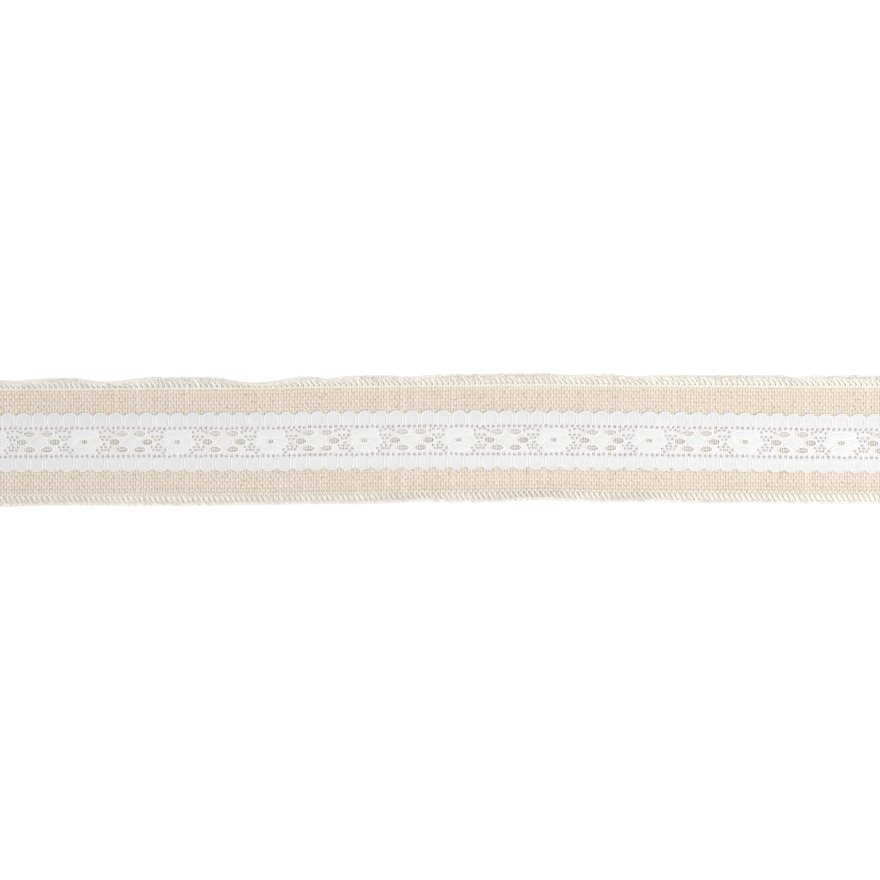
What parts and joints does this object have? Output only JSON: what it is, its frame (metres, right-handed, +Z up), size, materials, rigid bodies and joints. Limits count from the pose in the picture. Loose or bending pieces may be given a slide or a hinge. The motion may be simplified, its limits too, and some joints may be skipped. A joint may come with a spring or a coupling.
{
  "type": "lace-trimmed cotton ribbon length",
  "caption": "Flat cut length of natural woven cotton ribbon with overlocked long edges and a white scalloped lace trim sewn down its middle.",
  "frame": {"origin": "on the surface that the ribbon lies on, under the middle of its box", "axes": "+X along the ribbon, +Y across it towards the rippled edge, +Z up"},
  "size_m": [0.28, 0.0396, 0.0036],
  "materials": {
    "natural_cotton": "matte plain weave",
    "cream_thread": "spun sewing thread",
    "white_lace": "soft matte knitted lace"
  },
  "bodies": {
    "root": {"cotton_band": "natural_cotton", "overlock_far": "cream_thread", "overlock_near": "cream_thread", "lace_trim": "white_lace"}
  },
  "joints": []
}
